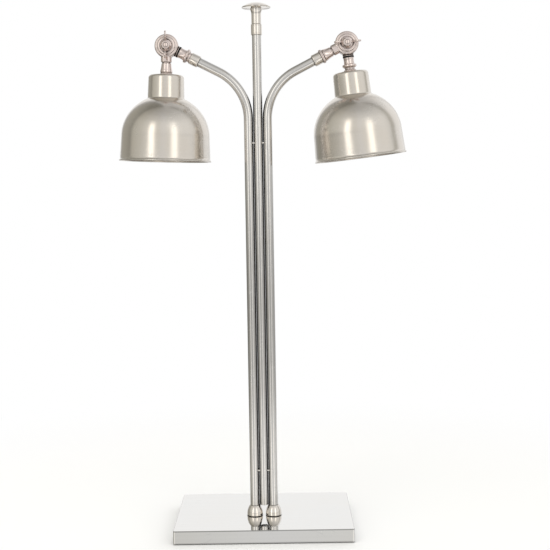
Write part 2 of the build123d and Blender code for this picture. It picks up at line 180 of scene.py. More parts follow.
# ceiling and ground brightness
height = g.ramp(eln, [(E(-90), .80), (E(-64), .76), (E(-55), .30), (E(-42), .26), (E(-33), .76), (E(-18), 1.0), (E(-12.4), 1.04), (E(-10.4), .62), (E(-5), .60), (E(-1), .76), (E(3), 1.0), (E(34), 1.0), (E(50), .84), (E(64), .66), (E(76), .58), (E(90), .60)], "EASE")
room = g.mix(1.0, room, height, "MULTIPLY")
lit = g.mix(boxes, room, (1.85, 1.80, 1.70))
lp = g.new("ShaderNodeLightPath")
strength = g.math("ADD", 1.0, g.math("MULTIPLY", lp.outputs["Is Diffuse Ray"], 0.35))
bg = g.new("ShaderNodeBackground")
g.link(lit, bg.inputs[0])
g.link(strength, bg.inputs[1])
bg_cam = g.new("ShaderNodeBackground")
bg_cam.inputs[0].default_value = (1.0, 1.0, 1.0, 1.0)
mixs = g.new("ShaderNodeMixShader")
g.link(lp.outputs["Is Camera Ray"], mixs.inputs[0])
g.link(bg.outputs[0], mixs.inputs[1])
g.link(bg_cam.outputs[0], mixs.inputs[2])
wo = g.new("ShaderNodeOutputWorld")
g.link(mixs.outputs[0], wo.inputs[0])

# overhead soft box
top_data = bpy.data.lights.new("overhead_softbox", "AREA")
top_data.shape = "RECTANGLE"
top_data.size, top_data.size_y = 2.6, 2.2
top_data.energy = 24.0
top = bpy.data.objects.new("overhead_softbox", top_data)
scene.collection.objects.link(top)
top.visible_glossy = False
top.location = (-0.3, -0.5, 2.7)
top.rotation_euler = (math.radians(-8), math.radians(-6), 0)

# floor
fm = bpy.data.materials.new("pale_floor")
fm.use_nodes = True
fg = Graph(fm.node_tree)
fb = fm.node_tree.nodes["Principled BSDF"]
fn = fg.new("ShaderNodeTexNoise")
fn.inputs["Scale"].default_value = 3.0
fg.link(fg.ramp(fn.outputs["Fac"], [(0.3, (.945, .945, .94)), (0.7, (.96, .96, .955))]), fb.inputs["Base Color"])
fb.inputs["Roughness"].default_value = 0.75
ft = fg.new("ShaderNodeTexCoord")
fl = fg.new("ShaderNodeVectorMath", operation="LENGTH")
fg.link(ft.outputs["Object"], fl.inputs[0])
fade = fg.ramp(fg.math("MULTIPLY", fl.outputs["Value"], 0.25), [(.10, 0.0), (.30, 1.0)], "EASE")
glow = fg.new("ShaderNodeEmission")
glow.inputs[0].default_value = (1.0, 1.0, 1.0, 1.0)
glow.inputs[1].default_value = 1.0
fmix = fg.new("ShaderNodeMixShader")
fg.link(fade, fmix.inputs[0])
fg.link(fb.outputs[0], fmix.inputs[1])
fg.link(glow.outputs[0], fmix.inputs[2])
fg.link(fmix.outputs[0], fm.node_tree.nodes["Material Output"].inputs[0])
bpy.ops.mesh.primitive_plane_add(size=16.0, location=(0, 0, -0.0002))
floor = bpy.context.object
floor.name = "floor"
floor.data.materials.append(fm)
floor.visible_glossy = False

# ================================================================== materials


def new_mat(name):
    m = bpy.data.materials.new(name)
    m.use_nodes = True
    gg = Graph(m.node_tree)
    b = m.node_tree.nodes["Principled BSDF"]
    return m, gg, b


def coords(gg, kind, scale, offset=(0, 0, 0)):
    t = gg.new("ShaderNodeTexCoord")
    mp = gg.new("ShaderNodeMapping")
    mp.inputs["Scale"].default_value = scale
    mp.inputs["Location"].default_value = offset
    gg.link(t.outputs[kind], mp.inputs[0])
    return mp.outputs[0]


def noise(gg, vec, scale, detail=3.0, rough=0.5, dist=0.0):
    n = gg.new("ShaderNodeTexNoise")
    n.inputs["Scale"].default_value = scale
    n.inputs["Detail"].default_value = detail
    n.inputs["Roughness"].default_value = rough
    n.inputs["Distortion"].default_value = dist
    gg.link(vec, n.inputs["Vector"])
    return n.outputs["Fac"]


def metal(name, col, rough, lines=None, lines_kind="Object", line_rough=.05, line_bump=.05, line_tint=.04,
          smudge=.05, smudge_scale=22.0, wave=.0, wave_scale=30.0, pits=0.0, ao_shade=None, ao_shade_dist=.006,
          scratch=.12, scratch_scale=(60, 60, 60), warm=(1.0, .97, .93), coat=0.0):
    """Polished or cast metal with polishing lines, smudges, fine scratches, and painted shade that darkens the colour
    in crevices.
    """
    m, gg, b = new_mat(name)
    b.inputs["Metallic"].default_value = 1.0
    obj = coords(gg, "Object", (1, 1, 1))
    big = noise(gg, obj, smudge_scale, 4.0, .6, .3)
    fine = noise(gg, obj, smudge_scale * 9, 3.0, .6)
    r = gg.math("MULTIPLY_ADD", gg.math("SUBTRACT", big, .5), smudge * 2, rough)
    r = gg.math("MULTIPLY_ADD", gg.math("SUBTRACT", fine, .5), smudge * .8, r)
    height = None
    colr = gg.ramp(big, [(.25, tuple(c * k for c, k in zip(col, warm))), (.75, col)])
    if lines:
        lv = noise(gg, coords(gg, lines_kind, lines), 1.0, 2.5, .7)
        r = gg.math("MULTIPLY_ADD", gg.math("SUBTRACT", lv, .5), line_rough * 2, r)
        colr = gg.mix(1.0, colr, gg.ramp(lv, [(.30, 1.0 - line_tint * 2), (.62, 1.0)]), "MULTIPLY")
        height = gg.math("MULTIPLY", lv, line_bump)
    # sparse fine scratches: thin level sets of a stretched, warped noise
    sc = noise(gg, coords(gg, "Object", scratch_scale, (3.1, 1.7, .4)), 1.0, 1.0, .4, 1.2)
    sc2 = noise(gg, coords(gg, "Object", tuple(v * .6 for v in reversed(scratch_scale)), (.2, 5.1, 2.2)), 1.0, 1.0, .4, 1.6)
    s1 = gg.ramp(sc, [(.494, 0.0), (.4995, 1.0), (.505, 0.0)])
    s2 = gg.ramp(sc2, [(.495, 0.0), (.4998, 1.0), (.5045, 0.0)])
    gate = gg.ramp(big, [(.45, 0.0), (.62, 1.0)])
    smask = gg.math("MULTIPLY", gg.math("MAXIMUM", s1, s2), gate)
    r = gg.math("MULTIPLY_ADD", smask, scratch, r)
    hh = gg.math("MULTIPLY", smask, -.05)
    height = hh if height is None else gg.math("ADD", height, hh)
    if wave:
        wv = noise(gg, coords(gg, "Object", (1, 1, 1), (7, 3, 1)), wave_scale, 1.5, .4)
        height = gg.math("MULTIPLY_ADD", wv, wave, height)
    if pits:
        pv = noise(gg, obj, 1400.0, 2.0, .6)
        height = gg.math("MULTIPLY_ADD", pv, pits, height)
        r = gg.math("MULTIPLY_ADD", gg.math("SUBTRACT", pv, .5), .06, r)
    # painted shade: base colour darkened where ambient occlusion is low (crevices, gaps between parts); roughness is
    # raised there too
    if ao_shade:
        ao = gg.new("ShaderNodeAmbientOcclusion", samples=8)
        ao.inputs["Distance"].default_value = ao_shade_dist
        k = gg.ramp(ao.outputs["AO"], ao_shade, "EASE")
        colr = gg.mix(1.0, colr, k, "MULTIPLY")
        inv = gg.math("SUBTRACT", 1.0, k)
        r = gg.math("MULTIPLY_ADD", inv, .45, r)
    r = gg.math("MAXIMUM", r, .02, clamp=True)
    gg.link(colr, b.inputs["Base Color"])
    gg.link(r, b.inputs["Roughness"])
    bp = gg.new("ShaderNodeBump")
    bp.inputs["Strength"].default_value = 1.0
    bp.inputs["Distance"].default_value = .001
    gg.link(height, bp.inputs["Height"])
    gg.link(bp.outputs[0], b.inputs["Normal"])
    return m


def dull(name, col, rough, scale=300.0, bump=.1, var=.25, spec=.5, ribs=None, coat=0.0):
    """Non-metal with mottled colour and a fine moulded, rubbery or glazed surface."""
    m, gg, b = new_mat(name)
    obj = coords(gg, "Object", (1, 1, 1))
    a = noise(gg, obj, scale * .12, 4.0, .6)
    f = noise(gg, obj, scale * 4, 2.0, .6)
    gg.link(gg.ramp(a, [(.3, tuple(c * (1 - var) for c in col)), (.7, tuple(min(1.0, c * (1 + var * .4)) for c in col))]),
            b.inputs["Base Color"])
    gg.link(gg.math("MULTIPLY_ADD", gg.math("SUBTRACT", f, .5), .2, rough, clamp=True), b.inputs["Roughness"])
    b.inputs["Specular IOR Level"].default_value = spec
    if coat:
        b.inputs["Coat Weight"].default_value = coat
        b.inputs["Coat Roughness"].default_value = .06
    h = gg.math("MULTIPLY", f, bump * .1)
    if ribs:
        wv = gg.new("ShaderNodeTexWave", wave_type="BANDS", bands_direction="DIAGONAL")
        wv.inputs["Scale"].default_value = ribs
        gg.link(obj, wv.inputs["Vector"])
        h = gg.math("MULTIPLY_ADD", wv.outputs["Fac"], .5, h)
    bp = gg.new("ShaderNodeBump")
    bp.inputs["Strength"].default_value = .8
    bp.inputs["Distance"].default_value = .001
    gg.link(h, bp.inputs["Height"])
    gg.link(bp.outputs[0], b.inputs["Normal"])
    return m


# painted shade strength: colour multiplier against the ambient occlusion value, for the metals below
painted_crevice_shade = [(0.46, .01), (.64, .18), (.86, 1.0)]
painted_deep_crevice_shade = [(0.26, .03), (.50, .28), (.78, 1.0)]
painted_soft_crevice_shade = [(0.15, .10), (.45, .55), (.75, 1.0)]
MAT = {
    "polished_base": metal("mirror_steel", (.87, .865, .85), .045, lines=(3.0, 700, 260), line_rough=.02, line_bump=.003,
                           line_tint=.014, smudge=.03, smudge_scale=14, wave=.05, wave_scale=9, scratch=.10,
                           scratch_scale=(26, 40, 20), warm=(1.0, .99, .975), ao_shade=painted_soft_crevice_shade, ao_shade_dist=.004),
    "chromed_tube": metal("drawn_chrome", (.70, .69, .68), .13, lines=(26, 1.4, 1.0), lines_kind="UV", line_rough=.04,
                          line_bump=.02, line_tint=.035, smudge=.035, smudge_scale=26, scratch=.12,
                          scratch_scale=(90, 90, 12), ao_shade=painted_crevice_shade, ao_shade_dist=.012, warm=(1.0, .985, .965)),
    "chromed_fitting": metal("turned_chrome", (.82, .785, .745), .10, lines=(1, 1, 2200), line_rough=.03, line_bump=.01,
                             smudge=.05, smudge_scale=60, scratch=.12, ao_shade=painted_soft_crevice_shade, ao_shade_dist=.005),
    "nickel_swivel": metal("cast_nickel", (.80, .715, .685), .12, smudge=.07, smudge_scale=110, wave=.10, wave_scale=160,
                           pits=.012, scratch=.14, scratch_scale=(160, 160, 160), ao_shade=painted_deep_crevice_shade, ao_shade_dist=.008,
                           warm=(.98, .93, .90)),
    "nickel_shade": metal("spun_nickel", (.765, .728, .682), .205, lines=(1.2, 1.2, 620), line_rough=.035, line_bump=.012,
                          line_tint=.02, smudge=.05, smudge_scale=17, wave=.22, wave_scale=22, scratch=.14,
                          scratch_scale=(30, 30, 60), ao_shade=painted_soft_crevice_shade, ao_shade_dist=.008, warm=(.985, .955, .915)),
    "black_washer": dull("black_fibre", (.012, .012, .012), .72, 500, .3, .3, .25),
    "zinc_steel": metal("zinc_steel", (.62, .62, .60), .30, lines=(300, 300, 40), line_rough=.08, smudge=.08, smudge_scale=80,
                        scratch=.15, ao_shade=painted_soft_crevice_shade, ao_shade_dist=.003),
    "cast_ballast": dull("painted_iron", (.06, .06, .06), .6, 300, 1.2, .4),
    "rubber_pad": dull("pad_rubber", (.022, .022, .023), .8, 260, .4, .35, .3, ribs=70),
    "black_nylon": dull("black_nylon", (.02, .02, .021), .45, 400, .2, .3),
    "cream_thermoplastic": dull("cream_thermoplastic", (.78, .73, .62), .5, 300, .2, .12),
    "lead_jacket": dull("lead_jacket", (.03, .03, .03), .5, 400, .2, .3),
    "porcelain": dull("porcelain", (.86, .85, .80), .22, 120, .15, .05, .6, coat=.6),
    "brass_shell": metal("pressed_brass", (.80, .61, .30), .22, lines=(1, 1, 1600), smudge=.08, smudge_scale=120, scratch=.12,
                         warm=(.96, .88, .75)),
    "bulb_cap_metal": metal("pressed_alloy", (.80, .80, .78), .28, lines=(1, 1, 1600), smudge=.06, smudge_scale=100, scratch=.1),
    "bulb_glass": dull("frosted_glass", (.93, .905, .86), .38, 160, .12, .04, .5, coat=.3),
}
bm_tree = MAT["polished_base"].node_tree
bg2 = Graph(bm_tree)
bb = bm_tree.nodes["Principled BSDF"]
bsrc = bb.inputs["Base Color"].links[0].from_socket
# painted reflection and shade: base colour x0.50 in a band over the rounded top edge and x0.84 on the side faces below
# it, unchanged on the top
btc = bg2.new("ShaderNodeTexCoord")
bsep = bg2.new("ShaderNodeSeparateXYZ")
bg2.link(btc.outputs["Object"], bsep.inputs[0])
bz = bg2.math("MULTIPLY", bsep.outputs[2], 40.0)
painted_edge_shade = bg2.ramp(bz, [(.0, .84), (.858, .84), (.884, .50), (.930, .50), (.9396, 1.0)])
bg2.link(bg2.mix(1.0, bsrc, painted_edge_shade, "MULTIPLY"), bb.inputs["Base Color"])
silvered = metal("silvered_glass", (.88, .87, .84), .12, smudge=.05, smudge_scale=50, wave=.2, wave_scale=60, scratch=.05)

bright_pin = metal("brazed_pin", (.88, .86, .83), .22, smudge=.05, smudge_scale=200, pits=.01, scratch=.1)

for n, o in nodes.items():
    o.data.materials.clear()
    o.data.materials.append(MAT[slot_of[n]])
    for p in o.data.polygons:
        p.use_smooth = True
    if hasattr(o.data, "set_sharp_from_angle"):
        o.data.set_sharp_from_angle(angle=math.radians(32))

# ================================================================== mesh tools


def arc3(p0, pm, p1, n=8):
    """Points after p0 on the circle through three points."""
    ax, ay = p0
    bx, by = pm
    cx, cy = p1
    d = 2 * (ax * (by - cy) + bx * (cy - ay) + cx * (ay - by))
    if abs(d) < 1e-9:
        return [pm, p1]
    ux = ((ax * ax + ay * ay) * (by - cy) + (bx * bx + by * by) * (cy - ay) + (cx * cx + cy * cy) * (ay - by)) / d
    uy = ((ax * ax + ay * ay) * (cx - bx) + (bx * bx + by * by) * (ax - cx) + (cx * cx + cy * cy) * (bx - ax)) / d
    r = math.hypot(ax - ux, ay - uy)
    a0 = math.atan2(ay - uy, ax - ux)
    am = math.atan2(by - uy, bx - ux)
    a1 = math.atan2(cy - uy, cx - ux)
    ccw = ((am - a0) % (2 * math.pi)) < ((a1 - a0) % (2 * math.pi))
    sweep = (a1 - a0) % (2 * math.pi) if ccw else -((a0 - a1) % (2 * math.pi))
    return [(ux + r * math.cos(a0 + sweep * i / n), uy + r * math.sin(a0 + sweep * i / n)) for i in range(1, n + 1)]


def path(start, *steps, n=8):
    """(r, z[, corner radius]) points and ((mid), (end)) arcs to a point list with radii."""
    out = [start if len(start) == 3 else (*start, 0.0)]
    for s in steps:
        if isinstance(s[0], tuple):
            p0 = out[-1][:2]
            pts = arc3(p0, s[0], s[1][:2], n)
            out += [(x, y, 0.0) for x, y in pts[:-1]]
            out.append((*s[1][:2], s[1][2] if len(s[1]) == 3 else 0.0))
        else:
            out.append(s if len(s) == 3 else (*s, 0.0))
    return out


def roundify(pts, closed):
    """Replace corners that have a radius by arcs."""
    n = len(pts)
    out = []
    for i, (x, y, r) in enumerate(pts):
        if r <= 0 or (not closed and i in (0, n - 1)):
            out.append((x, y))
            continue
        px, py = pts[i - 1][:2]
        qx, qy = pts[(i + 1) % n][:2]
        v1 = Vector((px - x, py - y))
        v2 = Vector((qx - x, qy - y))
        l1, l2 = v1.length, v2.length
        if l1 < 1e-6 or l2 < 1e-6:
            out.append((x, y))
            continue
        v1.normalize(); v2.normalize()
        ang = math.acos(max(-1, min(1, v1.dot(v2))))
        if ang > math.radians(172) or ang < 1e-3:
            out.append((x, y))
            continue
        t = min(r / math.tan(ang / 2), l1 * .48, l2 * .48)
        rr = t * math.tan(ang / 2)
        a = Vector((x, y)) + v1 * t
        b = Vector((x, y)) + v2 * t
        mid = Vector((x, y)) + (v1 + v2).normalized() * (rr / math.sin(ang / 2) - rr)
        out.append(tuple(a))
        out += arc3(tuple(a), tuple(mid), tuple(b), 4)
    return out


def finish(name, me, mat, node=None, matrix=None, body=None, slot=None, angle=35, replaces=()):
    me.update()
    o = bpy.data.objects.new(name, me)
    scene.collection.objects.link(o)
    for m in (mat if isinstance(mat, (list, tuple)) else [mat]):
        me.materials.append(m)
    for p in me.polygons:
        p.use_smooth = True
    me.set_sharp_from_angle(angle=math.radians(angle))
    if matrix is not None:
        o.matrix_world = matrix
    if node:
        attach(o, body_of[node])
        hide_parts(node, *replaces)
    else:
        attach(o, body)
    return o


def lathe(name, pts, node=None, matrix=None, segs=96, mat=None, fn=None, face_mat=None, **kw):
    """Solid of revolution about local Z from a profile in mm, with UVs. fn(r, z, a) may move a point in and out."""
    closed = not (abs(pts[0][0]) < 1e-6 and abs(pts[-1][0]) < 1e-6)
    prof = roundify(pts, closed)
    # drop repeats
    clean = [prof[0]]
    for p in prof[1:]:
        if math.hypot(p[0] - clean[-1][0], p[1] - clean[-1][1]) > 1e-4:
            clean.append(p)
    if closed and math.hypot(clean[0][0] - clean[-1][0], clean[0][1] - clean[-1][1]) < 1e-4:
        clean.pop()
    prof = clean
    verts, rings = [], []
    for r, z in prof:
        if r < 1e-6:
            rings.append([len(verts)])
            verts.append((0, 0, z * MM))
        else:
            ids = []
            for j in range(segs):
                a = 2 * math.pi * j / segs
                rr = fn(r, z, a) if fn else r
                ids.append(len(verts))
                verts.append((rr * math.cos(a) * MM, rr * math.sin(a) * MM, z * MM))
            rings.append(ids)
    # profile orientation decides the winding
    area = 0.0
    m = len(prof)
    for i in range(m):
        x0, y0 = prof[i]
        x1, y1 = prof[(i + 1) % m]
        area += x0 * y1 - x1 * y0
    flip = area < 0
    faces, uvs = [], []
    ln = [0.0]
    for i in range(1, m):
        ln.append(ln[-1] + math.hypot(prof[i][0] - prof[i - 1][0], prof[i][1] - prof[i - 1][1]))
    last = m if closed else m - 1
    for i in range(last):
        a, b = rings[i], rings[(i + 1) % m]
        va = ln[i] * .01
        vb = (ln[(i + 1) % m] if i + 1 < m else ln[-1] + 1) * .01
        if len(a) == 1 and len(b) == 1:
            continue
        for j in range(segs):
            k = (j + 1) % segs
            u0, u1 = j / segs, (j + 1) / segs
            if len(a) == 1:
                f, uv = [a[0], b[k], b[j]], [(u0, va), (u1, vb), (u0, vb)]
            elif len(b) == 1:
                f, uv = [a[j], a[k], b[0]], [(u0, va), (u1, va), (u0, vb)]
            else:
                f, uv = [a[j], a[k], b[k], b[j]], [(u0, va), (u1, va), (u1, vb), (u0, vb)]
            if flip:
                f.reverse(); uv.reverse()
            faces.append(f)
            uvs += uv
    me = bpy.data.meshes.new(name)
    me.from_pydata(verts, [], faces)
    lay = me.uv_layers.new(name="UVMap")
    for i, uv in enumerate(uvs):
        lay.data[i].uv = uv
    o = finish(name, me, mat if mat is not None else MAT[slot_of[node]], node, matrix, **kw)
    if face_mat:
        for p in me.polygons:
            p.material_index = face_mat(p.center)
    return o


def knurl(count, depth, z0=None, z1=None, rmin=0.0):
    def f(r, z, a):
        if r < rmin or (z0 is not None and not z0 <= z <= z1):
            return r
        return r - depth * (0.5 + 0.5 * math.cos(count * a))
    return f


T = Matrix.Translation
post_m = T(Vector((0, POST_Y, 0)) * MM)


def at_post(x):
    return T(Vector((x, POST_Y, 0)) * MM)


def arm_m(side):
    return T(PIVOT[side]) @ Matrix.Rotation(math.radians(180 + SIDE[side] * BEND_DEG), 4, "Y")


def lamp_m(side):
    return T(PIVOT[side]) @ Matrix.Rotation(math.radians(180 - SIDE[side] * TILT[side]), 4, "Y")


def hinge_m(side):
    return T(PIVOT[side]) @ Matrix.Rotation(math.radians(90), 4, "X")


# ================================================================== base
def rounded_loop(wd, dp, r, n=8):
    pts = []
    for cx, cy, a0 in ((1, 1, 0), (-1, 1, 90), (-1, -1, 180), (1, -1, 270)):
        for i in range(n + 1):
            a = math.radians(a0 + 90 * i / n)
            pts.append((cx * (wd / 2 - r) + r * math.cos(a), cy * (dp / 2 - r) + r * math.sin(a)))
    return pts


def shell_mesh():
    W0, D0, R0 = 305.0, 229.0, 3.0
    stations = [(1.5, .8), (1.2, .8), (.5, .8), (.15, .95), (0.0, 1.3)]
    stations += [(0, z) for z in (4, 8, 12, 16, 20, 21.6, 22.2)]
    stations += [(1.3 - 1.3 * math.cos(t), 22.2 + 1.3 * math.sin(t)) for t in [math.radians(v) for v in (15, 30, 45, 60, 75, 90)]]
    stations += [(3.0, 23.5), (8.0, 23.5)]
    stations_in = [(1.5, 22.0), (1.5, 10.0)]
    verts, loops = [], []

    def add(inset, z):
        ids = []
        for x, y in rounded_loop(W0 - 2 * inset, D0 - 2 * inset, max(.4, R0 - inset)):
            ids.append(len(verts))
            verts.append((x * MM, y * MM, z * MM))
        loops.append(ids)

    for s in stations:
        add(*s)
    faces = []
    n = len(loops[0])
    for a, b in zip(loops, loops[1:]):
        for j in range(n):
            faces.append([a[j], a[(j + 1) % n], b[(j + 1) % n], b[j]])
    faces.append(list(loops[-1]))
    outer_first = loops[0]
    loops2 = [outer_first]
    for s in [(1.5, 10.0), (1.5, 22.0)]:
        add(*s)
        loops2.append(loops[-1])
    for a, b in zip(loops2, loops2[1:]):
        for j in range(n):
            faces.append([b[j], b[(j + 1) % n], a[(j + 1) % n], a[j]])
    faces.append(list(reversed(loops2[-1])))
    me = bpy.data.meshes.new("base_cover")
    me.from_pydata(verts, [], faces)
    return me


base = finish("base_cover", shell_mesh(), MAT["polished_base"], "base_shell", angle=50)

# bushing at the back
lathe("cord_grommet", path((4.2, -8.0), (4.9, -8.0, .3), (6.9, -7.6, .4), (6.25, -5.5, .3), (6.25, 0.0), (9.0, 0.0, .3),
                           (9.0, 1.3, .5), (8.2, 2.0, .3), (4.2, 2.0, .6)), "cord_bushing",
      T(Vector((0, 114.5, 13.0)) * MM) @ Matrix.Rotation(math.radians(-90), 4, "X"), 64)

# ================================================================== posts


def tube_mesh(name, s, end_gap):
    th = math.radians(BEND_DEG)
    pts = []
    z0 = 17.0
    zs = [z0, z0 + .5] + [z0 + (BEND_Z - z0) * i / 44 for i in range(1, 45)]
    for z in zs:
        pts.append((s * POST_X, z, 0.0, 1.0))
    cx = s * (POST_X + BEND_R)
    for i in range(1, 43):
        t = th * i / 42
        pts.append((cx - s * BEND_R * math.cos(t), BEND_Z + BEND_R * math.sin(t), s * math.sin(t), math.cos(t)))
    ex, ez = pts[-1][:2]
    dxx, dzz = s * math.sin(th), math.cos(th)
    run = ARM_LEN - end_gap
    for i in range(1, 9):
        pts.append((ex + dxx * run * i / 8, ez + dzz * run * i / 8, dxx, dzz))
    segs = 56
    verts, faces, uvs, rings = [], [], [], []

    def ring(p, r):
        x, z, tx, tz = p
        nx, nz = tz, -tx
        ids = []
        for j in range(segs):
            a = 2 * math.pi * j / segs
            ids.append(len(verts))
            verts.append(((x + r * math.cos(a) * nx) * MM, (POST_Y + r * math.sin(a)) * MM, (z + r * math.cos(a) * nz) * MM))
        return ids

    def strip(a, b, v0, v1, rev):
        for j in range(segs):
            k = (j + 1) % segs
            f = [a[j], a[k], b[k], b[j]]
            uv = [(j / segs, v0), ((j + 1) / segs, v0), ((j + 1) / segs, v1), (j / segs, v1)]
            if rev:
                f.reverse(); uv.reverse()
            faces.append(f)
            uvs.extend(uv)

    ln, tot = [0.0], 0.0
    for p, q in zip(pts, pts[1:]):
        tot += math.hypot(q[0] - p[0], q[1] - p[1])
        ln.append(tot)
    outer = [ring(p, TUBE_R) for p in pts]
    inner = [ring(p, TUBE_R - TUBE_WALL) for p in pts]
    for i in range(len(pts) - 1):
        strip(outer[i], outer[i + 1], ln[i] * .01, ln[i + 1] * .01, False)
        strip(inner[i], inner[i + 1], ln[i] * .01, ln[i + 1] * .01, True)
    strip(inner[0], outer[0], 0, .02, False)
    strip(outer[-1], inner[-1], 0, .02, False)
    me = bpy.data.meshes.new(name)
    me.from_pydata(verts, [], faces)
    lay = me.uv_layers.new(name="UVMap")
    for i, uv in enumerate(uvs):
        lay.data[i].uv = uv
    bm = bmesh.new()
    bm.from_mesh(me)
    bmesh.ops.recalc_face_normals(bm, faces=bm.faces)
    bm.to_mesh(me)
    bm.free()
    return me


for side, gap in (("left", 46.0), ("right", 49.3)):
    s = SIDE[side]
    finish(side + "_post", tube_mesh(side + "_post", s, gap), MAT["chromed_tube"], side + "_post_tube", angle=60)
    lathe(side + "_post_nut", path((7.95, 23.5), (12.6, 23.5, .3), (13.3, 24.1, .3), (13.8, 24.9, .4), (13.8, 27.1, .2),
                                   ((12.25, 35.5), (8.85, 42.0, .3)), (7.95, 42.0), n=14),
          side + "_domed_nut", at_post(s * POST_X), 96)

rod = path((TUBE_R - TUBE_WALL, 42.5, .2), (TUBE_R, 42.5, .5), (TUBE_R, 862.0), (TUBE_R - TUBE_WALL, 862.0))
rows = [rod[1][:2]]
rod_pts = [(TUBE_R - TUBE_WALL, 42.5, .2), (TUBE_R, 42.5, .5)] + [(TUBE_R, 42.5 + 819.5 * i / 40, 0) for i in range(1, 41)] + \
    [(TUBE_R - TUBE_WALL, 862.0, 0)]
lathe("centre_post", rod_pts, "centre_rod", post_m, 64, angle=60)

for tag, zz in (("upper", 672.0), ("lower", 104.0)):
    for sd, xx in (("left", -POST_X / 2), ("right", POST_X / 2)):
        lathe(f"{tag}_braze_{sd}", path((0.0, -2.3), ((1.0, -2.15), (1.5, -1.6)), ((1.75, 0.0), (1.5, 1.6)), ((1.0, 2.15), (0.0, 2.3))), None,
              T(Vector((xx, POST_Y - 5.0, zz)) * MM) @ Matrix.Rotation(math.radians(90), 4, "Y"), 32,
              mat=bright_pin, body=body_of["upper_spacers"], slot=slot_of["upper_spacers"])

# finial
lathe("finial_sleeve", path((7.95, 854.0), (8.7, 854.0, .3), (9.35, 854.8, .4), (9.35, 856.0, .15), (9.12, 856.2, .1), (9.12, 856.6, .1),
                            (9.35, 856.8, .15), (9.35, 869.6, .15), (9.12, 869.8, .1), (9.12, 870.2, .1), (9.35, 870.4, .15),
                            (9.35, 871.6, .4), (8.6, 872.4, .3), (5.0, 872.4), (5.0, 862.0), (7.95, 862.0)), "finial_collar", post_m, 96)
kr = 24.6
kx, kz = kr - 1.0, 901.7
cr = (kx ** 2 + (909.0 - kz) ** 2) / (2 * (909.0 - kz))
kmz = 909.0 - cr + math.sqrt(cr ** 2 - (kx * .52) ** 2)
lathe("finial_crown", path((5.0, 872.4), (8.0, 872.4, .2), (8.25, 872.8, .2), (8.25, 888.0, .8), ((9.05, 893.6), (10.85, 898.5, .6)),
                           (kr - 1.2, 899.4, .3), ((kr, 900.5), (kx, kz, .4)), ((kx * .52, kmz), (0.0, 909.0)), (0.0, 884.0), (5.0, 884.0), n=14),
      "finial_knob", post_m, 128)

# ================================================================== swivels


def remeshed(name, node, voxel, it, shape=None):
    """Cast-looking copy of a CAD solid: rebuilt in small cells, edges worn soft."""
    src = nodes[node]
    me = src.data.copy()
    tmp = bpy.data.objects.new(name + "_tmp", me)
    scene.collection.objects.link(tmp)
    rm = tmp.modifiers.new("r", "REMESH")
    rm.mode = "VOXEL"
    rm.voxel_size = voxel
    sm = tmp.modifiers.new("s", "SMOOTH")
    sm.factor = .5
    sm.iterations = it
    dg = bpy.context.evaluated_depsgraph_get()
    out = bpy.data.meshes.new_from_object(tmp.evaluated_get(dg))
    out.name = name
    out.materials.clear()
    bpy.data.objects.remove(tmp)
    if shape:
        for v in out.vertices:
            v.co = shape(v.co)
    return finish(name, out, MAT[slot_of[node]], node, angle=80)


def ear_detail(side, front):
    """Turned ring on the outer face and a shallow waist line round the rim of an ear."""
    P = PIVOT[side]
    sg = -1 if front else 1

    def f(co):
        dxx, dzz = co.x - P.x, co.z - P.z
        r = math.hypot(dxx, dzz) / MM
        y = (co.y - P.y) / MM * sg
        if r < 21.5 and y > 6.0:
            k = max(0.0, 1 - abs(r - 17.2) / .75)
            co = Vector((co.x, co.y - sg * .35 * MM * (k * k * (3 - 2 * k)), co.z))
        if 18.8 < r < 20.6 and 0 < y:
            k = max(0.0, 1 - abs(y - 3.4) / .6)
            q = 1 - .25 * k / r
            co = Vector((P.x + dxx * q, co.y, P.z + dzz * q))
        return co
    return f


